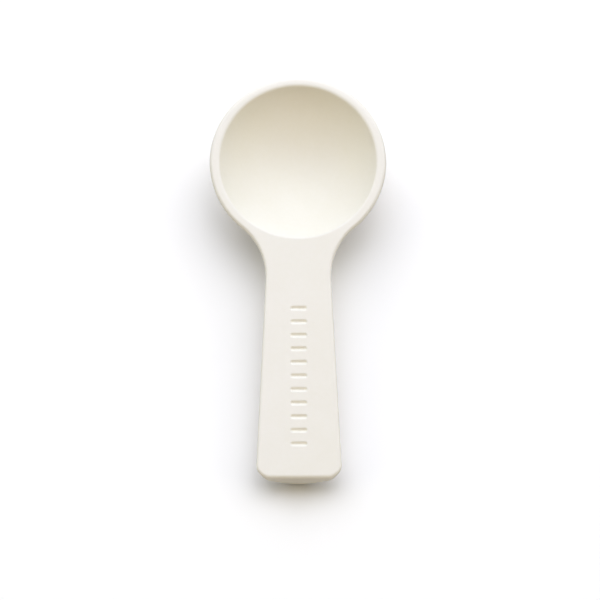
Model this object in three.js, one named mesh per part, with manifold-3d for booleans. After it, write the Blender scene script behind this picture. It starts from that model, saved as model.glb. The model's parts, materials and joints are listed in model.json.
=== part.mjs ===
// A one-piece ceramic teaspoon: a round bowl of 5 ml with a crowned rim, which runs on as the flat top of a
// short, widening handle. Millimetres, +Z up, lying on a table on the bowl's bottom and the handle's end.
//
// The shape is worked out in the spoon's own frame first: the rim plane is z = 0, the bowl's middle is the
// origin, and the handle runs towards -y. The finished body is then tilted into the way it lies.

import * as THREE from 'three';
import { mergeVertices } from 'three/addons/utils/BufferGeometryUtils.js';
import Module from 'manifold-3d';

// Bowl
const BOWL_DIAMETER = 38;
const BOWL_DEPTH = 10; // inside, below the rim plane
const RIM_WIDTH = 2.1;
const LIP_RADIUS = 0.8; // rounding of the rim's inner edge
const FLOOR_THICKNESS = 1.9;

// Handle
const SPOON_LENGTH = 88.8;
const NECK_REACH = 26; // from the bowl's middle to the narrowest place
const NECK_WIDTH = 14.05;
const NECK_THICKNESS = 5.2;
const NECK_FILLET = 14; // concave plan radius between bowl and handle
const END_WIDTH = 18.4;
const END_THICKNESS = 6;
const END_CORNER = 2.9; // plan radius of the two end corners
const END_DRAFT = THREE.MathUtils.degToRad(4); // the end face leans out to its foot

// Edges
const RIM_EDGE_WIDTH = 1.4; // the rim's outer edge is a flattened rounding, wider than it is deep
const RIM_EDGE_DROP = 0.9;
const SIDE_EDGE_RADIUS = 0.6; // rounding along the handle's sides
const END_EDGE_RADIUS = 0.8; // rounding along the top of the handle's end
const FOOT_RADIUS = 0.6; // rounding along the foot of the handle's end

// Underside
const BOWL_FULLNESS = 0.76; // power of the bowl's sections: close to a spherical cap
const HANDLE_FULLNESS = 1.3; // power of the handle's sections: a soft keel with thin edges
const BLEND_START = 9; // distances from the bowl's middle between which the one runs into the other
const BLEND_END = 30;

// Facets
const TIP_STEPS = 24;
const HEEL_STEPS = 14;
const FILLET_STEPS = 16;
const SIDE_STEPS = 12;
const CORNER_STEPS = 6;
const END_STEPS = 6;
const EDGE_STEPS = 5;
const FOOT_STEPS = 3;
const UNDERSIDE_STEPS = 14;
const CAVITY_STEPS = 12;
const LIP_STEPS = 4;
const CAVITY_SECTORS = 84;

const { lerp, smoothstep } = THREE.MathUtils;

const bowlRadius = BOWL_DIAMETER / 2;
const bowlOuterDepth = BOWL_DEPTH + FLOOR_THICKNESS;
const endLean = (END_THICKNESS - END_EDGE_RADIUS * (1 - Math.sin(END_DRAFT))) * Math.tan(END_DRAFT);
const handleReach = SPOON_LENGTH - bowlRadius - endLean; // from the bowl's middle to the end's top edge

// Straight side of the handle's right half: a point on it, its direction and its outward normal
const sideFoot = new THREE.Vector2(NECK_WIDTH / 2, -NECK_REACH);
const sideAlong = new THREE.Vector2(END_WIDTH / 2, -handleReach).sub(sideFoot).normalize();
const sideOut = new THREE.Vector2(-sideAlong.y, sideAlong.x);
const sideOffset = sideFoot.dot(sideOut);

// Middle of the neck's concave arc, which touches the bowl's circle and the straight side
const filletOffset = sideOffset + NECK_FILLET;
const filletReach = Math.sqrt((bowlRadius + NECK_FILLET) ** 2 - filletOffset ** 2);
const filletMiddle = sideOut.clone().multiplyScalar(filletOffset).addScaledVector(sideAlong, filletReach);
const filletAngle = filletMiddle.angle();
const bowlLeave = filletMiddle.clone().setLength(bowlRadius);
const sideStart = filletMiddle.clone().addScaledVector(sideOut, -NECK_FILLET);

// Middle of the end corner's arc, which touches the straight side and the end
const cornerY = END_CORNER - handleReach;
const cornerX = (sideOffset - END_CORNER - cornerY * sideOut.y) / sideOut.x;
const cornerMiddle = new THREE.Vector2(cornerX, cornerY);
const sideEnd = cornerMiddle.clone().addScaledVector(sideOut, END_CORNER);

// Half the plan width at a distance y along the spoon, with the straight sides run on past the end corners
function halfWidth(y) {
  if (y > bowlLeave.y) return Math.sqrt(Math.max(0, bowlRadius ** 2 - y ** 2));
  if (y > sideStart.y) return filletMiddle.x - Math.sqrt(NECK_FILLET ** 2 - (y - filletMiddle.y) ** 2);
  return (sideOffset - y * sideOut.y) / sideOut.x;
}

// How far a place along the spoon belongs to the handle: 0 under the bowl, 1 under the handle
function handleShare(y) {
  return smoothstep(-y, BLEND_START, BLEND_END);
}

// The edge is rounded from the flat top to upright at the bowl, and right round to the underside
// at the handle
function edgeSweep(y) {
  return lerp(Math.PI / 2, Math.PI, handleShare(y));
}

function edgeWidth(y) {
  return lerp(RIM_EDGE_WIDTH, SIDE_EDGE_RADIUS, handleShare(y));
}

function edgeDrop(y) {
  return lerp(RIM_EDGE_DROP, SIDE_EDGE_RADIUS, handleShare(y));
}

function edgeInset(y) {
  return edgeWidth(y) * (1 - Math.sin(edgeSweep(y)));
}

function edgeDepth(y) {
  return edgeDrop(y) * (1 - Math.cos(edgeSweep(y)));
}

function bowlKeel(y) {
  const swell = Math.max(0, 1 - (y / bowlRadius) ** 2) ** BOWL_FULLNESS;
  return RIM_EDGE_DROP + (bowlOuterDepth - RIM_EDGE_DROP) * swell;
}

function handleKeel(y) {
  return lerp(NECK_THICKNESS, END_THICKNESS, (-y - NECK_REACH) / (handleReach - NECK_REACH));
}

// Slope of a keel, per unit of distance towards the handle's end
function keelSlope(keel, y) {
  const step = 0.01;
  return (keel(y - step) - keel(y + step)) / (2 * step);
}

// Depth of the underside along the middle: the bowl's cap, a smooth run down the neck, the handle's keel
function keelDepth(y) {
  if (y > -BLEND_START) return bowlKeel(y);
  if (y < -BLEND_END) return handleKeel(y);
  const span = BLEND_END - BLEND_START;
  const t = (-y - BLEND_START) / span;
  const leave = bowlKeel(-BLEND_START) + t * span * keelSlope(bowlKeel, -BLEND_START);
  const join = handleKeel(-BLEND_END) - (1 - t) * span * keelSlope(handleKeel, -BLEND_END);
  return lerp(leave, join, smoothstep(t, 0, 1));
}

// Depth of the underside anywhere in plan: each cross section swells from its two edges to the keel
function undersideDepth({ x, y }) {
  const reach = halfWidth(y) - edgeInset(y);
  const across = reach > 0 ? Math.min(1, Math.abs(x) / reach) : 1;
  const fullness = lerp(BOWL_FULLNESS, HANDLE_FULLNESS, handleShare(y));
  return edgeDepth(y) + (keelDepth(y) - edgeDepth(y)) * (1 - across ** 2) ** fullness;
}

// Stations round the right half of the plan outline, from the bowl's tip to the middle of the handle's end.
// Each has its point, outward normal, the middle-line point that its rib runs to, and how far it has turned
// from the sides, 0, to the end, 1.
function outlineStations() {
  const { EllipseCurve, LineCurve } = THREE;
  const endCorner = new THREE.Vector2(cornerMiddle.x, -handleReach);
  const endMiddle = new THREE.Vector2(0, -handleReach);
  const bowlStretch = (start, end, steps) => ({
    curve: new EllipseCurve(0, 0, bowlRadius, bowlRadius, start, end, true),
    steps,
    out: (point) => point.clone().normalize(),
    middle: () => 0,
    turn: () => 0,
  });
  const stretches = [
    bowlStretch(Math.PI / 2, 0, TIP_STEPS),
    bowlStretch(0, filletAngle - 2 * Math.PI, HEEL_STEPS),
    {
      curve: new EllipseCurve(
        filletMiddle.x, filletMiddle.y, NECK_FILLET, NECK_FILLET,
        filletAngle - Math.PI, sideOut.angle() + Math.PI, false,
      ),
      steps: FILLET_STEPS,
      out: (point) => filletMiddle.clone().sub(point).normalize(),
      middle: (t) => lerp(0, sideStart.y, t),
      turn: () => 0,
    },
    {
      curve: new LineCurve(sideStart, sideEnd),
      steps: SIDE_STEPS,
      out: () => sideOut,
      middle: (t) => lerp(sideStart.y, sideEnd.y, t),
      turn: () => 0,
    },
    {
      curve: new EllipseCurve(
        cornerMiddle.x, cornerMiddle.y, END_CORNER, END_CORNER, sideOut.angle(), -Math.PI / 2, true,
      ),
      steps: CORNER_STEPS,
      out: (point) => point.clone().sub(cornerMiddle).normalize(),
      middle: () => sideEnd.y,
      turn: (t) => smoothstep(t, 0, 1),
    },
    {
      curve: new LineCurve(endCorner, endMiddle),
      steps: END_STEPS,
      out: () => new THREE.Vector2(0, -1),
      middle: () => sideEnd.y,
      turn: () => 1,
    },
  ];
  const stations = [];
  stretches.forEach(({ curve, steps, out, middle, turn }, index) => {
    for (let step = index === 0 ? 0 : 1; step <= steps; step += 1) {
      const t = step / steps;
      const point = curve.getPoint(t);
      stations.push({ point, out: out(point), middle: middle(t), turn: turn(t) });
    }
  });
  return stations;
}

// One rib: from the middle line over the flat top, round the edge and back along the underside to the keel.
// Where it has turned to the end, it also runs down the end's wall and round its foot.
function rib({ point, out, middle, turn }) {
  const width = lerp(edgeWidth(point.y), END_EDGE_RADIUS, turn);
  const drop = lerp(edgeDrop(point.y), END_EDGE_RADIUS, turn);
  const sweep = lerp(edgeSweep(point.y), Math.PI / 2 - END_DRAFT, turn);
  const edgeEnd = lerp(edgeInset(point.y), 0, turn);
  const edgeMiddle = edgeEnd + width * Math.sin(sweep);
  const edgeLow = drop * (1 - Math.cos(sweep));
  const edgeSteps = lerp(EDGE_STEPS, EDGE_STEPS - 1, turn); // the sides' last step is the underside's first

  const plan = (distance) => point.clone().addScaledVector(out, -distance);
  const inset = (distance, depth) => new THREE.Vector3(...plan(distance), -depth);
  const wallHeight = undersideDepth(plan(edgeEnd)) - edgeLow;
  const footPlan = plan(edgeEnd - turn * wallHeight * Math.tan(END_DRAFT));
  const keelPlan = new THREE.Vector2(0, middle);
  const under = (t) => {
    const place = footPlan.clone().lerp(keelPlan, t);
    return new THREE.Vector3(...place, -undersideDepth(place));
  };

  const rounding = turn * Math.min(FOOT_RADIUS, wallHeight / 2);
  const floorStart = rounding / footPlan.distanceTo(keelPlan);
  const foot = under(0);
  const towardsTop = inset(edgeEnd, edgeLow).sub(foot).normalize();
  const wallLow = foot.clone().addScaledVector(towardsTop, rounding);
  const footCurve = new THREE.QuadraticBezierCurve3(wallLow, foot, under(floorStart));

  const points = [new THREE.Vector3(0, middle, 0)];
  for (let step = 0; step < EDGE_STEPS; step += 1) {
    const angle = (sweep * step) / edgeSteps;
    points.push(inset(edgeMiddle - width * Math.sin(angle), drop * (1 - Math.cos(angle))));
  }
  points.push(...footCurve.getPoints(FOOT_STEPS));
  for (let step = 1; step <= UNDERSIDE_STEPS; step += 1) {
    const t = 1 - Math.cos((Math.PI / 2) * (step / UNDERSIDE_STEPS));
    points.push(under(lerp(floorStart, 1, t)));
  }
  return points;
}

// Closed skin over the ribs of the right half and their mirror image
function skin(ribs) {
  const corners = [];
  for (const side of [1, -1]) {
    const mirrored = ribs.map((points) => points.map((p) => new THREE.Vector3(side * p.x, p.y, p.z)));
    for (let i = 0; i + 1 < ribs.length; i += 1) {
      for (let j = 0; j + 1 < ribs[i].length; j += 1) {
        const [a, b] = [mirrored[i][j], mirrored[i][j + 1]];
        const [d, c] = [mirrored[i + 1][j], mirrored[i + 1][j + 1]];
        corners.push(...(side > 0 ? [a, c, b, a, d, c] : [a, b, c, a, c, d]));
      }
    }
  }
  return new THREE.BufferGeometry().setFromPoints(corners);
}

// The bowl's hollow: a spherical cap whose mouth flares into the rim over a rounded lip, with a plain lid
function cavity() {
  const mouthRadius = bowlRadius - RIM_WIDTH;
  const sphereRadius = (mouthRadius ** 2 + BOWL_DEPTH ** 2) / (2 * BOWL_DEPTH);
  const sphereHeight = sphereRadius - BOWL_DEPTH;
  const lipMiddle = Math.sqrt((sphereRadius + LIP_RADIUS) ** 2 - (sphereHeight + LIP_RADIUS) ** 2);
  const lipAngle = Math.atan2(-LIP_RADIUS - sphereHeight, lipMiddle);
  const wall = new THREE.EllipseCurve(0, sphereHeight, sphereRadius, sphereRadius, -Math.PI / 2, lipAngle);
  const lip = new THREE.EllipseCurve(
    lipMiddle, -LIP_RADIUS, LIP_RADIUS, LIP_RADIUS, lipAngle + Math.PI, Math.PI / 2, true,
  );
  const profile = [
    new THREE.Vector2(0, -BOWL_DEPTH),
    ...wall.getPoints(CAVITY_STEPS).slice(1),
    ...lip.getPoints(LIP_STEPS).slice(1),
    new THREE.Vector2(lipMiddle, BOWL_DEPTH),
    new THREE.Vector2(0, BOWL_DEPTH),
  ];
  return new THREE.LatheGeometry(profile, CAVITY_SECTORS).rotateX(Math.PI / 2);
}

const wasm = await Module();
wasm.setup();

// Closed solid of a geometry: shared vertices welded, and triangles that the weld closes up left out
function solid(geometry) {
  const bare = new THREE.BufferGeometry().setAttribute('position', geometry.getAttribute('position'));
  if (geometry.index) bare.setIndex(geometry.index);
  const welded = mergeVertices(bare);
  const index = welded.index.array;
  const triangles = [];
  for (let i = 0; i < index.length; i += 3) {
    const [a, b, c] = index.slice(i, i + 3);
    if (a !== b && b !== c && c !== a) triangles.push(a, b, c);
  }
  const vertProperties = new Float32Array(welded.getAttribute('position').array);
  const triVerts = new Uint32Array(triangles);
  return new wasm.Manifold(new wasm.Mesh({ numProp: 3, vertProperties, triVerts }));
}

function geometryOf(manifold) {
  const { vertProperties, triVerts } = manifold.getMesh();
  const geometry = new THREE.BufferGeometry();
  geometry.setAttribute('position', new THREE.BufferAttribute(vertProperties, 3));
  geometry.setIndex(new THREE.BufferAttribute(triVerts, 1));
  return geometry;
}

// Tilt about x at which the bowl's bottom and the handle's end touch one level table
function restTilt(geometry) {
  const places = geometry.getAttribute('position');
  const lowest = (isHandle, tilt) => {
    let low = Infinity;
    for (let i = 0; i < places.count; i += 1) {
      if (places.getY(i) < -bowlRadius === isHandle) {
        low = Math.min(low, places.getY(i) * Math.sin(tilt) + places.getZ(i) * Math.cos(tilt));
      }
    }
    return low;
  };
  const halvings = 40;
  let [flat, steep] = [-Math.PI / 4, Math.PI / 4];
  for (let round = 0; round < halvings; round += 1) {
    const tilt = (flat + steep) / 2;
    if (lowest(true, tilt) > lowest(false, tilt)) flat = tilt;
    else steep = tilt;
  }
  return flat;
}

// Matt cream glaze over the whole piece
const glaze = new THREE.MeshStandardMaterial({ color: 0xefeadf, roughness: 0.5, metalness: 0 });

const body = solid(skin(outlineStations().map(rib))).subtract(solid(cavity()));
const spoon = new THREE.Mesh(geometryOf(body), glaze);
spoon.name = 'spoon';
spoon.rotation.x = restTilt(spoon.geometry);

// The row's origin: on the table, under the middle of the spoon
const extent = new THREE.Box3().setFromObject(spoon, true);
const middle = extent.getCenter(new THREE.Vector3());
spoon.position.set(-middle.x, -middle.y, -extent.min.z);

const teaspoon = new THREE.Group();
teaspoon.add(spoon);

export default teaspoon;
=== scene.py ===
import json
import math
from collections import namedtuple

import bmesh
import bpy
from mathutils import Matrix, Vector


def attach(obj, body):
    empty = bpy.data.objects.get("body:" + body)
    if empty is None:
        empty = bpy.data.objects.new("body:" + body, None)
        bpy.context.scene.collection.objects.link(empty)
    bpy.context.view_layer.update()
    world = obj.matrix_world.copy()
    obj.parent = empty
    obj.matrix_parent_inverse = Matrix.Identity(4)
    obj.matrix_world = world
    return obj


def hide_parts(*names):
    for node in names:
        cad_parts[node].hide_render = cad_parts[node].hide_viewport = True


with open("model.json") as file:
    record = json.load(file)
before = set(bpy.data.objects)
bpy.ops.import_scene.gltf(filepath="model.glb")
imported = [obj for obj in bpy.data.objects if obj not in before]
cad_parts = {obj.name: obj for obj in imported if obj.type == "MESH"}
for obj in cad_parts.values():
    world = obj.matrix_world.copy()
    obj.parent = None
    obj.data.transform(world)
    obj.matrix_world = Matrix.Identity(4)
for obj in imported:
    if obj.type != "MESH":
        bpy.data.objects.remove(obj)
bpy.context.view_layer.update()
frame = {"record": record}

# A teaspoon of matt ivory-glazed stoneware, lying on a white table under soft studio light.
#
# The spoon is worked out in millimetres in its own frame: the rim plane is z = 0, the bowl's middle is the
# origin, and the handle runs towards -y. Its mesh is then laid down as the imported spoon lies.

MM = 0.001  # metres

# Bowl
BOWL_RADIUS = 19.0
BOWL_DEPTH = 10.0
RIM_WIDTH = 2.1
LIP_RADIUS = 0.8
FLOOR_THICKNESS = 1.9

# Handle
SPOON_LENGTH = 88.8
NECK_REACH = 26.0  # from the bowl's middle
NECK_WIDTH = 14.05
NECK_THICKNESS = 5.2
NECK_FILLET = 14.0
END_WIDTH = 18.4
END_THICKNESS = 6.0
END_CORNER = 2.9
END_DRAFT = math.radians(4)
MOUNT_REACH = 48.0  # from the bowl's middle to the record's mount on the flat top

# Edges
RIM_EDGE_WIDTH = 0.7  # at the bowl's sides
TIP_EDGE_WIDTH = 1.4  # at the bowl's tip, where the rim is crowned
RIM_EDGE_DROP = 0.9
SIDE_EDGE_RADIUS = 0.6
END_EDGE_RADIUS = 0.8
FOOT_RADIUS = 1.6  # where the end meets the underside

# Underside
BOWL_FULLNESS = 0.76
HANDLE_FULLNESS = 1.3
BLEND_START = 9.0  # from the bowl's middle
BLEND_END = 30.0

# Row of pressed grooves along the handle
GROOVE_COUNT = 11
GROOVE_LENGTH = 3.9
GROOVE_WIDTH = 1.25
GROOVE_DEPTH = 0.28
GROOVE_FIRST = 32.5  # from the bowl's middle
GROOVE_LAST = 62.0

# Glaze: its thickness runs from 0, where it is palest, to 1, where its colour is deepest. The deep colour
# also stands in for painted shade in the hollow and the grooves.
THIN_COLOUR = "#F8F5F0"
THICK_AND_SHADED_COLOUR = "#EBE7D5"
BASE_THICKNESS = -0.15  # to which all the others are added
# Added where the glaze gathers in the hollow and grooves: partly real pooling, partly painted shade there
POOLED_AND_SHADE_THICKNESS = 0.35
CLOUD_THICKNESS = 0.4
MOTTLE_THICKNESS = 0.2
POOL_AND_SHADE_DEPTH = 0.25  # below the rim, where the glaze has gathered to its full thickness and the painted shade of the hollow is full
EDGE_COLOUR = "#F5F1E8"  # where it has run thin over an edge
EDGE_SHARE = 0.5  # of that colour, in the middle of the edge
CLOUD_SIZE = 14.0
MOTTLE_SIZE = 0.9
GRAIN_SIZE = 0.5
GRAIN_HEIGHT = 0.008
WAVE_SIZE = 7.0
WAVE_HEIGHT = 0.05
LEAST_ROUGHNESS = 0.46
MOST_ROUGHNESS = 0.6
GLAZE_IOR = 1.5

# How fine the mesh is
FLAT_MARGIN = 0.08  # strip of flat face kept beside every rounding
BOWL_STEPS = 150
FILLET_STEPS = 32
SIDE_STEPS = 60
CORNER_STEPS = 24
END_STEPS = 20
EDGE_STEPS = 12
WALL_STEPS = 6
FOOT_STEPS = 10
UNDERSIDE_STEPS = 40
HOLLOW_STEPS = 48
LIP_STEPS = 10
HOLLOW_SECTORS = 240
GROOVE_RINGS = 12
GROOVE_TURN_STEPS = 12
SAME_POINT = 1e-4  # points closer than this are one
NO_LENGTH = 1e-5  # edges shorter than this are dissolved

# Photograph: where the rim lies in its frame, and the angle of view to the rim plane
PHOTO_PX = 600
BOWL_MIDDLE_PX = (298.0, 161.1)
BOWL_WIDTH_PX = 176.9
VIEW_ANGLE = math.radians(74.4)
VIEW_TURN = math.radians(-0.2)
VIEW_DISTANCE = 0.9  # metres
SENSOR_WIDTH = 36.0

# Table, in metres, and the shares of red, green and blue light that it gives off
TABLE_WIDTH = 12.0
FADE_START = 0.08  # from the middle, where the table begins to fade to plain white
FADE_END = 0.16
TABLE_SHOWN = (1.35, 1.3, 1.235, 1)  # to the eye: over-exposed, and warm to look white in cool light
TABLE_BOUNCE = (0.6, 0.6, 0.6, 1)  # to the spoon
WHITE = (1, 1, 1, 1)

bowl_outer_depth = BOWL_DEPTH + FLOOR_THICKNESS
end_lean = (END_THICKNESS - END_EDGE_RADIUS * (1 - math.sin(END_DRAFT))) * math.tan(END_DRAFT)
handle_reach = SPOON_LENGTH - BOWL_RADIUS - end_lean


def lerp(a, b, t):
    return a + (b - a) * t


def smoothstep(x, low, high):
    t = min(1.0, max(0.0, (x - low) / (high - low)))
    return t * t * (3 - 2 * t)


def spread(start, end, steps):
    """Evenly spaced values from start to end, both included."""
    return [lerp(start, end, step / steps) for step in range(steps + 1)]


# Straight side of the handle's right half: a point on it, its direction and its outward normal
side_foot = Vector((NECK_WIDTH / 2, -NECK_REACH))
side_along = (Vector((END_WIDTH / 2, -handle_reach)) - side_foot).normalized()
side_out = Vector((-side_along.y, side_along.x))
side_offset = side_foot.dot(side_out)

# Middle of the neck's concave arc, which touches the bowl's circle and the straight side
fillet_offset = side_offset + NECK_FILLET
fillet_reach = math.sqrt((BOWL_RADIUS + NECK_FILLET) ** 2 - fillet_offset ** 2)
fillet_middle = side_out * fillet_offset + side_along * fillet_reach
fillet_angle = math.atan2(fillet_middle.y, fillet_middle.x)
bowl_leave = fillet_middle.normalized() * BOWL_RADIUS
side_start = fillet_middle - side_out * NECK_FILLET

# Middle of the end corner's arc, which touches the straight side and the end
corner_y = END_CORNER - handle_reach
corner_x = (side_offset - END_CORNER - corner_y * side_out.y) / side_out.x
corner_middle = Vector((corner_x, corner_y))
side_end = corner_middle + side_out * END_CORNER
side_angle = math.atan2(side_out.y, side_out.x)


def half_width(y):
    """Half the plan width, with the straight sides run on past the end corners."""
    if y > bowl_leave.y:
        return math.sqrt(max(0.0, BOWL_RADIUS ** 2 - y ** 2))
    if y > side_start.y:
        return fillet_middle.x - math.sqrt(NECK_FILLET ** 2 - (y - fillet_middle.y) ** 2)
    return (side_offset - y * side_out.y) / side_out.x


def handle_share(y):
    """How far a place along the spoon belongs to the handle: 0 under the bowl, 1 under the handle."""
    return smoothstep(-y, BLEND_START, BLEND_END)


def edge_sweep(y):
    """The edge is rounded to upright at the bowl, and right round to the underside at the handle."""
    return lerp(math.pi / 2, math.pi, handle_share(y))


def edge_width(y):
    rim = lerp(RIM_EDGE_WIDTH, TIP_EDGE_WIDTH, smoothstep(y, 0, BOWL_RADIUS))
    return lerp(rim, SIDE_EDGE_RADIUS, handle_share(y))


def edge_drop(y):
    return lerp(RIM_EDGE_DROP, SIDE_EDGE_RADIUS, handle_share(y))


def edge_inset(y):
    """How far inside the outline the edge ends."""
    return edge_width(y) * (1 - math.sin(edge_sweep(y)))


def edge_depth(y):
    """How far below the flat top the edge ends."""
    return edge_drop(y) * (1 - math.cos(edge_sweep(y)))


def bowl_keel(y):
    swell = max(0.0, 1 - (y / BOWL_RADIUS) ** 2) ** BOWL_FULLNESS
    return RIM_EDGE_DROP + (bowl_outer_depth - RIM_EDGE_DROP) * swell


def handle_keel(y):
    return lerp(NECK_THICKNESS, END_THICKNESS, (-y - NECK_REACH) / (handle_reach - NECK_REACH))


def keel_slope(keel, y):
    """How fast a keel deepens on the way to the handle's end."""
    step = 0.01
    return (keel(y - step) - keel(y + step)) / (2 * step)


def keel_depth(y):
    """Depth of the underside along the middle: bowl's cap, smooth run at the neck, handle's keel."""
    if y > -BLEND_START:
        return bowl_keel(y)
    if y < -BLEND_END:
        return handle_keel(y)
    span = BLEND_END - BLEND_START
    t = (-y - BLEND_START) / span
    leave = bowl_keel(-BLEND_START) + t * span * keel_slope(bowl_keel, -BLEND_START)
    join = handle_keel(-BLEND_END) - (1 - t) * span * keel_slope(handle_keel, -BLEND_END)
    return lerp(leave, join, smoothstep(t, 0, 1))


def underside_depth(place):
    """Depth of the underside anywhere in plan: each cross section swells from its edges to the keel."""
    x, y = place
    reach = half_width(y) - edge_inset(y)
    across = min(1.0, abs(x) / reach) if reach > 0 else 1.0
    fullness = lerp(BOWL_FULLNESS, HANDLE_FULLNESS, handle_share(y))
    return edge_depth(y) + (keel_depth(y) - edge_depth(y)) * (1 - across ** 2) ** fullness


# A place on the outline: its point, its outward normal, where on the middle line its rib ends, and how far
# it has turned from the sides, 0, to the end, 1
Station = namedtuple("Station", "point out middle turn")


def outline():
    """Stations round the right half of the plan outline, from the bowl's tip to the middle of the end."""
    stations = []

    def arc(middle, radius, start, end, steps, facing, rib_foot, turn):
        for t in spread(0, 1, steps):
            angle = lerp(start, end, t)
            ray = Vector((math.cos(angle), math.sin(angle)))
            stations.append(Station(middle + radius * ray, facing * ray, rib_foot(t), turn(t)))

    def line(start, end, steps, out, rib_foot, turn):
        for t in spread(0, 1, steps):
            stations.append(Station(start.lerp(end, t), out, rib_foot(t), turn))

    origin = Vector((0, 0))
    end_out = Vector((0, -1))
    end_corner = corner_middle + END_CORNER * end_out
    arc(origin, BOWL_RADIUS, math.pi / 2, fillet_angle, BOWL_STEPS, 1, lambda t: 0, lambda t: 0)
    arc(fillet_middle, NECK_FILLET, fillet_angle + math.pi, side_angle + math.pi, FILLET_STEPS, -1,
        lambda t: lerp(0, side_start.y, t), lambda t: 0)
    line(side_start, side_end, SIDE_STEPS, side_out, lambda t: lerp(side_start.y, side_end.y, t), 0)
    arc(corner_middle, END_CORNER, side_angle, -math.pi / 2, CORNER_STEPS, 1,
        lambda t: side_end.y, lambda t: smoothstep(t, 0, 1))
    line(end_corner, Vector((0, end_corner.y)), END_STEPS, end_out, lambda t: side_end.y, 1)
    return stations


def rib(station):
    """From the flat top, round the edge, down the end's wall and round its foot, and along to the keel."""
    point, out, middle, turn = station
    width = lerp(edge_width(point.y), END_EDGE_RADIUS, turn)
    sweep = lerp(edge_sweep(point.y), math.pi / 2 - END_DRAFT, turn)
    edge_end = lerp(edge_inset(point.y), 0, turn)
    edge_middle = edge_end + width * math.sin(sweep)

    def inset(distance, depth):
        place = point - distance * out
        return Vector((place.x, place.y, -depth))

    def under(t):
        place = foot_plan.lerp(Vector((0, middle)), t)
        return Vector((place.x, place.y, -underside_depth(place)))

    # The edge ends at the underside, or above it where there is a wall between them
    edge_turn = 1 - math.cos(sweep)
    wall_foot = underside_depth(inset(edge_end, 0).xy)
    drop = min(lerp(edge_drop(point.y), END_EDGE_RADIUS, turn), wall_foot / edge_turn)
    edge_low = drop * edge_turn
    wall_height = wall_foot - edge_low
    foot_plan = inset(edge_end - turn * wall_height * math.tan(END_DRAFT), 0).xy
    foot = under(0)
    wall_top = inset(edge_end, edge_low)
    rounding = turn * min(FOOT_RADIUS, wall_height / 2)
    wall_low = foot + (wall_top - foot).normalized() * rounding
    keel_start = rounding / (foot_plan - Vector((0, middle))).length
    floor_start = under(keel_start)

    points = [inset(edge_middle + FLAT_MARGIN, 0)]
    for angle in spread(0, sweep, EDGE_STEPS):
        points.append(inset(edge_middle - width * math.sin(angle), drop * (1 - math.cos(angle))))
    for t in spread(0, 1, WALL_STEPS)[1:]:
        points.append(wall_top.lerp(wall_low, t))
    for t in spread(0, 1, FOOT_STEPS)[1:]:
        points.append(wall_low.lerp(foot, t).lerp(foot.lerp(floor_start, t), t))
    for angle in spread(0, math.pi / 2, UNDERSIDE_STEPS)[1:]:
        points.append(under(lerp(keel_start, 1, 1 - math.cos(angle))))
    return points


# A closed ring of points, how far the glaze has gathered there, with painted shade in the hollow and
# grooves, and how far it has run thin, each from 0 to 1
Ring = namedtuple("Ring", "points pooled thinned")


def outside():
    """Rings from the flat top's outer border over the edge and down to the keel."""
    right = [rib(station) for station in outline()]
    left = [[Vector((-p.x, p.y, p.z)) for p in points] for points in reversed(right)]
    levels = list(zip(*(right + left)))
    rings = []
    for level, points in enumerate(levels):
        on_edge = 1 <= level <= EDGE_STEPS
        thinned = math.sin(math.pi * (level - 1) / EDGE_STEPS) if on_edge else 0.0
        rings.append(Ring(points, 0.0, thinned))
    return rings


def hollow():
    """Rings from the flat rim over the lip and down the spherical hollow to its lowest point."""
    mouth = BOWL_RADIUS - RIM_WIDTH
    sphere = (mouth ** 2 + BOWL_DEPTH ** 2) / (2 * BOWL_DEPTH)
    sphere_height = sphere - BOWL_DEPTH
    lip_middle = math.sqrt((sphere + LIP_RADIUS) ** 2 - (sphere_height + LIP_RADIUS) ** 2)
    lip_angle = math.atan2(lip_middle, sphere_height + LIP_RADIUS)  # from straight down

    profile = [(lip_middle + FLAT_MARGIN, 0.0)]
    for turn in spread(0, lip_angle, LIP_STEPS):
        profile.append((lip_middle - LIP_RADIUS * math.sin(turn), LIP_RADIUS * (1 - math.cos(turn))))
    for angle in spread(lip_angle, 0, HOLLOW_STEPS)[1:]:
        profile.append((sphere * math.sin(angle), sphere * math.cos(angle) - sphere_height))

    rings = []
    for radius, depth in profile:
        turns = spread(0, 2 * math.pi, HOLLOW_SECTORS)[:-1]
        points = [Vector((radius * math.cos(a), radius * math.sin(a), -depth)) for a in turns]
        # The colour deepens below the rim: glaze gathered in the hollow, and painted shade
        rings.append(Ring(points, smoothstep(depth, 0, POOL_AND_SHADE_DEPTH), 0.0))
    return rings


def groove(reach):
    """Rings of one crosswise groove with round ends, from its border on the flat top to its bottom."""
    half_length = (GROOVE_LENGTH - GROOVE_WIDTH) / 2
    border = GROOVE_WIDTH / 2
    rings = []
    for distance in [border + FLAT_MARGIN, *spread(border, 0, GROOVE_RINGS)]:
        sunk = (1 + math.cos(math.pi * min(1.0, distance / border))) / 2
        points = []
        for side in (1, -1):
            for turn in spread(-math.pi / 2, math.pi / 2, GROOVE_TURN_STEPS):
                x = half_length + distance * math.cos(turn)
                y = distance * math.sin(turn)
                points.append(Vector((side * x, side * y - reach, -GROOVE_DEPTH * sunk)))
        # The colour deepens with the groove's depth: glaze gathered there, and painted shade
        rings.append(Ring(points, sunk, 0.0))
    return rings


def add_skin(bm, rings):
    """Quads between each ring and the next."""
    pooled = bm.verts.layers.float["glaze_pooled_and_shaded"]
    thinned = bm.verts.layers.float["glaze_thinned"]
    rows = []
    for ring in rings:
        row = [bm.verts.new(point) for point in ring.points]
        for vert in row:
            vert[pooled] = ring.pooled
            vert[thinned] = ring.thinned
        rows.append(row)
    for upper, lower in zip(rows, rows[1:]):
        for i in range(len(upper)):
            bm.faces.new((upper[i - 1], upper[i], lower[i], lower[i - 1]))


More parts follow.
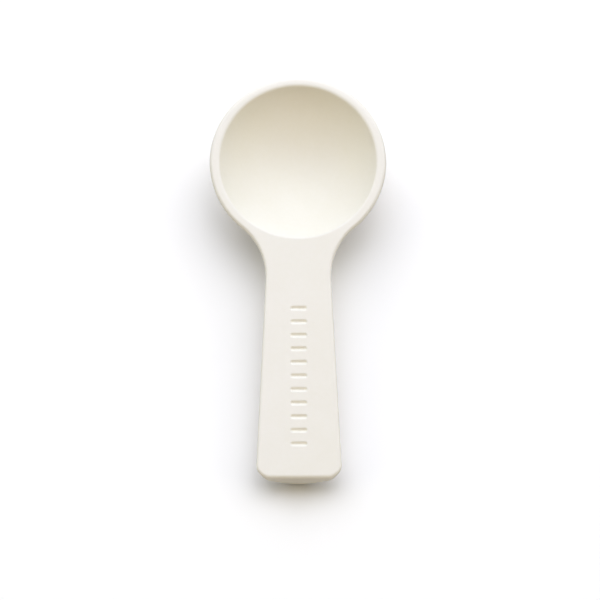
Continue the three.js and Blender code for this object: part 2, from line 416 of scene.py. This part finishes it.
def spoon_mesh():
    """The whole spoon as one closed skin. The flat top fills what the other skins leave open."""
    bm = bmesh.new()
    for layer in ("glaze_pooled_and_shaded", "glaze_thinned"):
        bm.verts.layers.float.new(layer)
    add_skin(bm, outside())
    add_skin(bm, hollow())
    for reach in spread(GROOVE_FIRST, GROOVE_LAST, GROOVE_COUNT - 1):
        add_skin(bm, groove(reach))
    bmesh.ops.remove_doubles(bm, verts=bm.verts[:], dist=SAME_POINT)
    bmesh.ops.dissolve_degenerate(bm, edges=bm.edges[:], dist=NO_LENGTH)
    borders = [edge for edge in bm.edges if edge.is_boundary]
    bmesh.ops.triangle_fill(bm, edges=borders, use_beauty=True, normal=(0, 0, 1))
    bmesh.ops.recalc_face_normals(bm, faces=bm.faces[:])
    for face in bm.faces:
        face.smooth = True
    mesh = bpy.data.meshes.new("spoon_skin")
    bm.to_mesh(mesh)
    bm.free()
    return mesh


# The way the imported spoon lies: its mount gives the flat top's slope and a point on the middle line
top_face = next(mount for mount in frame["record"]["mounts"] if mount["name"] == "top_face")
slope = Vector(top_face["axis"])
tilt = math.atan2(-slope.y, slope.z)
lie = (Matrix.Translation(top_face["pos_m"]) @ Matrix.Rotation(tilt, 4, "X")
       @ Matrix.Translation((0, MOUNT_REACH * MM, 0)) @ Matrix.Scale(MM, 4))
bowl_middle = lie @ Vector((0, 0, 0))


def linear(hex_colour):
    """Linear RGBA of an sRGB hex colour."""
    parts = [int(hex_colour[i:i + 2], 16) / 255 for i in (1, 3, 5)]
    return (*[p / 12.92 if p <= 0.04045 else ((p + 0.055) / 1.055) ** 2.4 for p in parts], 1.0)


# Sockets of a Mix node for colours, where several share a name
MIX_SHARE, MIX_FROM, MIX_TO = 0, 6, 7
MIX_RESULT = 2


def add_node(tree, kind, inputs=(), **settings):
    """A node with its settings, and with each of its inputs linked from a socket or set to a value."""
    node = tree.nodes.new(kind)
    for name, value in settings.items():
        setattr(node, name, value)
    for name, value in dict(inputs).items():
        if isinstance(value, bpy.types.NodeSocket):
            tree.links.new(value, node.inputs[name])
        else:
            node.inputs[name].default_value = value
    return node


def per_mm(size):
    """Texture scale at which one feature of a pattern is that many millimetres wide."""
    return 1 / (size * MM)


def matt_ivory_glaze():
    """Stoneware dipped in a matt ivory glaze and fired: a warm white with a soft eggshell sheen. It is a
    little deeper in colour in the hollow and the grooves, where the glaze gathers and where shade is
    painted in, and a touch warmer on the edges, where the glaze runs thin over the body."""
    material = bpy.data.materials.new("matt_ivory_glaze")
    material.use_nodes = True
    tree = material.node_tree
    tree.nodes.clear()
    place = add_node(tree, "ShaderNodeTexCoord").outputs["Object"]
    pooled = add_node(tree, "ShaderNodeAttribute", attribute_name="glaze_pooled_and_shaded").outputs["Fac"]
    thinned = add_node(tree, "ShaderNodeAttribute", attribute_name="glaze_thinned").outputs["Fac"]

    # Slow clouds in the glaze's thickness, and a fine mottle from its crystals
    clouds = add_node(tree, "ShaderNodeTexNoise", {
        "Vector": place, "Scale": per_mm(CLOUD_SIZE), "Detail": 2.0})
    mottle = add_node(tree, "ShaderNodeTexNoise", {
        "Vector": place, "Scale": per_mm(MOTTLE_SIZE), "Detail": 3.0})
    # Deeper colour where the glaze gathers, which is also painted shade in the hollow and the grooves
    gathered_and_shaded = add_node(tree, "ShaderNodeMath", {
        0: pooled, 1: POOLED_AND_SHADE_THICKNESS, 2: BASE_THICKNESS}, operation="MULTIPLY_ADD")
    clouded = add_node(tree, "ShaderNodeMath", {
        0: clouds.outputs["Fac"], 1: CLOUD_THICKNESS, 2: gathered_and_shaded.outputs[0]}, operation="MULTIPLY_ADD")
    thickness = add_node(tree, "ShaderNodeMath", {
        0: mottle.outputs["Fac"], 1: MOTTLE_THICKNESS, 2: clouded.outputs[0]},
        operation="MULTIPLY_ADD", use_clamp=True)
    ivory = add_node(tree, "ShaderNodeMix", {
        MIX_SHARE: thickness.outputs[0], MIX_FROM: linear(THIN_COLOUR), MIX_TO: linear(THICK_AND_SHADED_COLOUR)},
        data_type="RGBA")
    edge = add_node(tree, "ShaderNodeMath", {0: thinned, 1: EDGE_SHARE}, operation="MULTIPLY")
    colour = add_node(tree, "ShaderNodeMix", {
        MIX_SHARE: edge.outputs[0], MIX_FROM: ivory.outputs[MIX_RESULT], MIX_TO: linear(EDGE_COLOUR)},
        data_type="RGBA")

    # Sheen breaks up with the crystals, over an eggshell grain and slow waves in the fired skin
    roughness = add_node(tree, "ShaderNodeMapRange", {
        "Value": mottle.outputs["Fac"], "To Min": LEAST_ROUGHNESS, "To Max": MOST_ROUGHNESS})
    grain = add_node(tree, "ShaderNodeTexNoise", {
        "Vector": place, "Scale": per_mm(GRAIN_SIZE), "Detail": 2.0})
    waves = add_node(tree, "ShaderNodeTexNoise", {
        "Vector": place, "Scale": per_mm(WAVE_SIZE), "Detail": 1.0})
    fine = add_node(tree, "ShaderNodeBump", {
        "Height": grain.outputs["Fac"], "Strength": 1.0, "Distance": GRAIN_HEIGHT * MM})
    skin = add_node(tree, "ShaderNodeBump", {
        "Height": waves.outputs["Fac"], "Strength": 1.0, "Distance": WAVE_HEIGHT * MM,
        "Normal": fine.outputs["Normal"]})
    surface = add_node(tree, "ShaderNodeBsdfPrincipled", {
        "Base Color": colour.outputs[MIX_RESULT], "Roughness": roughness.outputs["Result"],
        "IOR": GLAZE_IOR, "Normal": skin.outputs["Normal"]})
    add_node(tree, "ShaderNodeOutputMaterial", {"Surface": surface.outputs["BSDF"]})
    return material


def background_rays(tree):
    """1 for rays that show the background itself, or its image in gloss or glass, and 0 for its light."""
    rays = add_node(tree, "ShaderNodeLightPath").outputs
    mirrored = add_node(tree, "ShaderNodeMath", {
        0: rays["Is Glossy Ray"], 1: rays["Is Transmission Ray"]}, operation="MAXIMUM")
    return add_node(tree, "ShaderNodeMath", {
        0: rays["Is Camera Ray"], 1: mirrored.outputs[0]}, operation="MAXIMUM").outputs[0]


def white_table():
    """A plain matt white table, a little over-exposed in view, so that only the spoon's shadow shows.
    Away from the spoon, where less light falls, it fades to plain white."""
    material = bpy.data.materials.new("matt_white_card")
    material.cycles.emission_sampling = "NONE"  # the plain white is only seen, and lights nothing
    material.use_nodes = True
    tree = material.node_tree
    tree.nodes.clear()
    bounced = add_node(tree, "ShaderNodeBsdfDiffuse", {"Color": TABLE_BOUNCE})
    lit = add_node(tree, "ShaderNodeBsdfDiffuse", {"Color": TABLE_SHOWN})
    clear = add_node(tree, "ShaderNodeEmission", {"Color": WHITE})
    place = add_node(tree, "ShaderNodeNewGeometry").outputs["Position"]
    away = add_node(tree, "ShaderNodeVectorMath", {0: place}, operation="LENGTH")
    fade = add_node(tree, "ShaderNodeMapRange", {
        "Value": away.outputs["Value"], "From Min": FADE_START, "From Max": FADE_END})
    shown = add_node(tree, "ShaderNodeMixShader", {
        0: fade.outputs["Result"], 1: lit.outputs[0], 2: clear.outputs[0]})
    surface = add_node(tree, "ShaderNodeMixShader", {
        0: background_rays(tree), 1: bounced.outputs[0], 2: shown.outputs[0]})
    add_node(tree, "ShaderNodeOutputMaterial", {"Surface": surface.outputs[0]})

    half = TABLE_WIDTH / 2
    corners = [(-half, -half, 0), (half, -half, 0), (half, half, 0), (-half, half, 0)]
    mesh = bpy.data.meshes.new("table")
    mesh.from_pydata(corners, [], [(0, 1, 2, 3)])
    mesh.materials.append(material)
    table = bpy.data.objects.new("table", mesh)
    bpy.context.scene.collection.objects.link(table)
    return table


def white_room():
    """Plain white walls behind the table, which show and mirror but give no light of their own."""
    world = bpy.data.worlds.new("room")
    world.use_nodes = True
    tree = world.node_tree
    tree.nodes.clear()
    walls = add_node(tree, "ShaderNodeBackground", {"Color": WHITE, "Strength": background_rays(tree)})
    add_node(tree, "ShaderNodeOutputWorld", {"Surface": walls.outputs[0]})
    bpy.context.scene.world = world


def direction(azimuth, elevation):
    """Unit vector to a place in the room, from degrees from +Y towards +X and degrees above the table."""
    a, e = math.radians(azimuth), math.radians(elevation)
    return Vector((math.sin(a) * math.cos(e), math.cos(a) * math.cos(e), math.sin(e)))


def softbox(name, azimuth, elevation, width, level, colour, distance=None, kept_off=None):
    """A round softbox, so many degrees wide as the spoon sees it. At level 1 a white card that faces it
    shows as white. Its light falls off with the distance, in metres, or is even where none is given.
    A flag can keep its light off one thing."""
    away = direction(azimuth, elevation)
    half_angle = math.radians(width / 2)
    if distance:
        radius = distance * math.tan(half_angle)
        lamp = bpy.data.lights.new(name, "AREA")
        lamp.shape = "DISK"
        lamp.size = 2 * radius
        lamp.energy = level * (math.pi * radius / math.sin(half_angle)) ** 2
    else:
        lamp = bpy.data.lights.new(name, "SUN")
        lamp.angle = 2 * half_angle
        lamp.energy = level * math.pi
    lamp.color = linear(colour)[:3]
    light = bpy.data.objects.new(name, lamp)
    light.location = away * (distance or 0)
    light.rotation_euler = away.to_track_quat("Z", "Y").to_euler()
    bpy.context.scene.collection.objects.link(light)
    if kept_off:
        flag = bpy.data.collections.new(name + "_flag")
        flag.objects.link(kept_off)
        flag.collection_objects[0].light_linking.link_state = "EXCLUDE"
        light.light_linking.receiver_collection = flag


def photo_camera():
    """Looks down on the spoon as the photograph does: the rim's middle and width fall on its pixels."""
    focal = BOWL_WIDTH_PX / (2 * BOWL_RADIUS * MM) * VIEW_DISTANCE  # in pixels
    below_middle = (PHOTO_PX / 2 - BOWL_MIDDLE_PX[1]) / focal
    beside_middle = (BOWL_MIDDLE_PX[0] - PHOTO_PX / 2) / focal
    elevation = VIEW_ANGLE - tilt + math.atan(below_middle)
    turn = Matrix.Rotation(VIEW_TURN, 3, "Z")
    back = turn @ Vector((0, -math.cos(elevation), math.sin(elevation)))
    up = turn @ Vector((0, math.sin(elevation), math.cos(elevation)))
    right = turn @ Vector((1, 0, 0))

    lens = bpy.data.cameras.new("camera")
    lens.sensor_width = SENSOR_WIDTH
    lens.lens = SENSOR_WIDTH * focal / PHOTO_PX
    camera = bpy.data.objects.new("camera", lens)
    camera.location = bowl_middle + VIEW_DISTANCE * (back - beside_middle * right - below_middle * up)
    camera.rotation_euler = Matrix((right, up, back)).transposed().to_euler()
    bpy.context.scene.collection.objects.link(camera)
    bpy.context.scene.camera = camera


photo_camera()
table = white_table()
white_room()
softbox("window_behind", azimuth=0, elevation=41, width=90, level=0.79, colour="#EEF2FF", distance=1.0)
softbox("overhead_left", azimuth=-25, elevation=55, width=60, level=0.151, colour="#ECF4FF")
softbox("overhead_right", azimuth=60, elevation=55, width=60, level=0.18, colour="#F8FBFF")
softbox("fill_left", azimuth=-90, elevation=22, width=44, level=0.15, colour="#FFFBDC")
softbox("fill_right", azimuth=90, elevation=22, width=44, level=0.126, colour="#FFFBE6")
softbox("fill_front", azimuth=180, elevation=36, width=60, level=0.26, colour="#FFE8BA", kept_off=table)

spoon = bpy.data.objects.new("teaspoon", spoon_mesh())
spoon.data.materials.append(matt_ivory_glaze())
spoon.data.transform(lie)
bpy.context.scene.collection.objects.link(spoon)
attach(spoon, "root")
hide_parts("spoon")

bpy.context.scene.view_settings.view_transform = "Standard"
